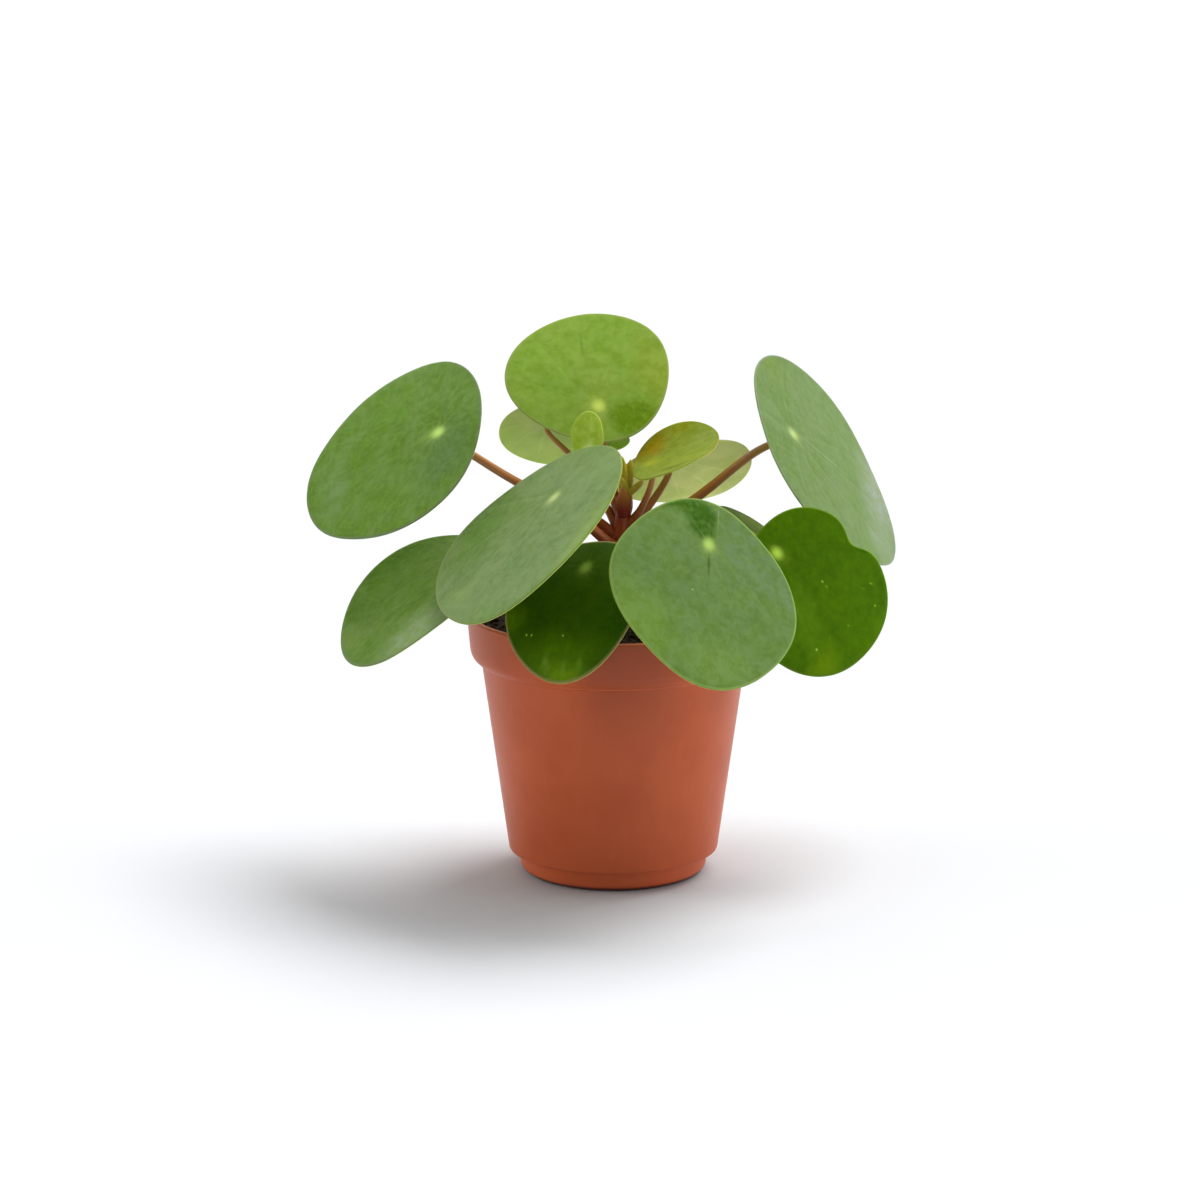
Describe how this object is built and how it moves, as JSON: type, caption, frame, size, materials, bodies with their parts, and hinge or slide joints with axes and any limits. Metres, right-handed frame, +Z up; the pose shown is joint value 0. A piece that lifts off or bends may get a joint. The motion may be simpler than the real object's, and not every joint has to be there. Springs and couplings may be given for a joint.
{
  "type": "potted pilea plant",
  "caption": "Round-leaved house plant: near-circular peltate blades on arching stalks round a short stem, in soil, in a stepped-rim plastic nursery pot with a low foot.",
  "frame": {"origin": "on the pot's axis, in the plane of the pot's foot", "axes": "+Z up along the pot's axis; -Y towards the front, where the picture was taken from; +X to the right"},
  "size_m": [0.245, 0.1966, 0.2218],
  "materials": {
    "pot_plastic": "satin moulded plastic, terracotta colour",
    "soil": "matt, damp peat",
    "stalk": "satin, red-brown running to green",
    "leaf": "satin, waxy leaf",
    "young_leaf": "satin, young yellow-green leaf"
  },
  "bodies": {
    "root": {"pot": "pot_plastic", "soil": "soil", "stem_and_stalks": "stalk", "shoot_tip": "young_leaf", "blade_upper_left": "leaf", "blade_top": "leaf", "blade_upper_right": "leaf", "blade_front_left": "leaf", "blade_lower_left": "leaf", "blade_front_low": "leaf", "blade_front_right": "leaf", "blade_lower_right": "leaf", "blade_back_left": "leaf", "blade_young_upright": "young_leaf", "blade_young_right": "young_leaf", "blade_back_right": "leaf", "blade_right_behind": "leaf", "blade_back": "leaf"}
  },
  "joints": []
}
